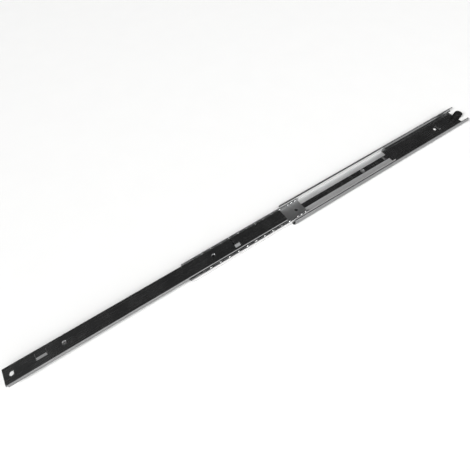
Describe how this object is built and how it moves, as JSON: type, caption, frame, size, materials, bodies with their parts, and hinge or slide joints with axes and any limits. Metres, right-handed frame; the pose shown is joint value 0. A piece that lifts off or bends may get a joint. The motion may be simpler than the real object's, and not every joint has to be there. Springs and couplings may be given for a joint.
{
  "type": "drawer slide",
  "caption": "Full-extension ball-bearing drawer slide with nested steel channel members, ball cages and a rubber rear bumper.",
  "frame": {"origin": "centre of the outer member's front mounting hole, on its back face", "axes": "+X the opening direction, +Y across the slide's height, +Z away from the cabinet side"},
  "size_m": [0.9103, 0.0456, 0.0127],
  "materials": {
    "member_steel": "bright zinc plate",
    "cage_steel": "plain pressed strip",
    "ball_steel": "polished",
    "bumper_rubber": "matt black"
  },
  "bodies": {
    "outer": {"outer_member": "member_steel", "rear_bumper": "bumper_rubber"},
    "intermediate": {"intermediate_member": "member_steel"},
    "inner": {"inner_member": "member_steel"},
    "outer_cage": {"outer_ball_cage": "cage_steel", "outer_balls_near_1": "ball_steel", "outer_balls_near_2": "ball_steel", "outer_balls_near_3": "ball_steel", "outer_balls_near_4": "ball_steel", "outer_balls_far_1": "ball_steel", "outer_balls_far_2": "ball_steel", "outer_balls_far_3": "ball_steel", "outer_balls_far_4": "ball_steel"},
    "inner_cage": {"inner_ball_cage": "cage_steel", "inner_balls_near_1": "ball_steel", "inner_balls_near_2": "ball_steel", "inner_balls_near_3": "ball_steel", "inner_balls_near_4": "ball_steel", "inner_balls_far_1": "ball_steel", "inner_balls_far_2": "ball_steel", "inner_balls_far_3": "ball_steel", "inner_balls_far_4": "ball_steel"}
  },
  "joints": [
    {"name": "intermediate_slide", "type": "slide", "parent": "outer", "child": "intermediate", "axis": [1, 0, 0], "range_m": [-0.1945, 0]},
    {"name": "inner_slide", "type": "slide", "parent": "intermediate", "child": "inner", "axis": [1, 0, 0], "range_m": [-0.264, 0]},
    {"name": "outer_cage_slide", "type": "slide", "parent": "outer", "child": "outer_cage", "axis": [1, 0, 0], "range_m": [-0.09725, 0]},
    {"name": "inner_cage_slide", "type": "slide", "parent": "intermediate", "child": "inner_cage", "axis": [1, 0, 0], "range_m": [-0.132, 0]}
  ],
  "couplings": [
    {"joint": "outer_cage_slide", "follows": "intermediate_slide", "ratio": 0.5},
    {"joint": "inner_cage_slide", "follows": "inner_slide", "ratio": 0.5}
  ]
}
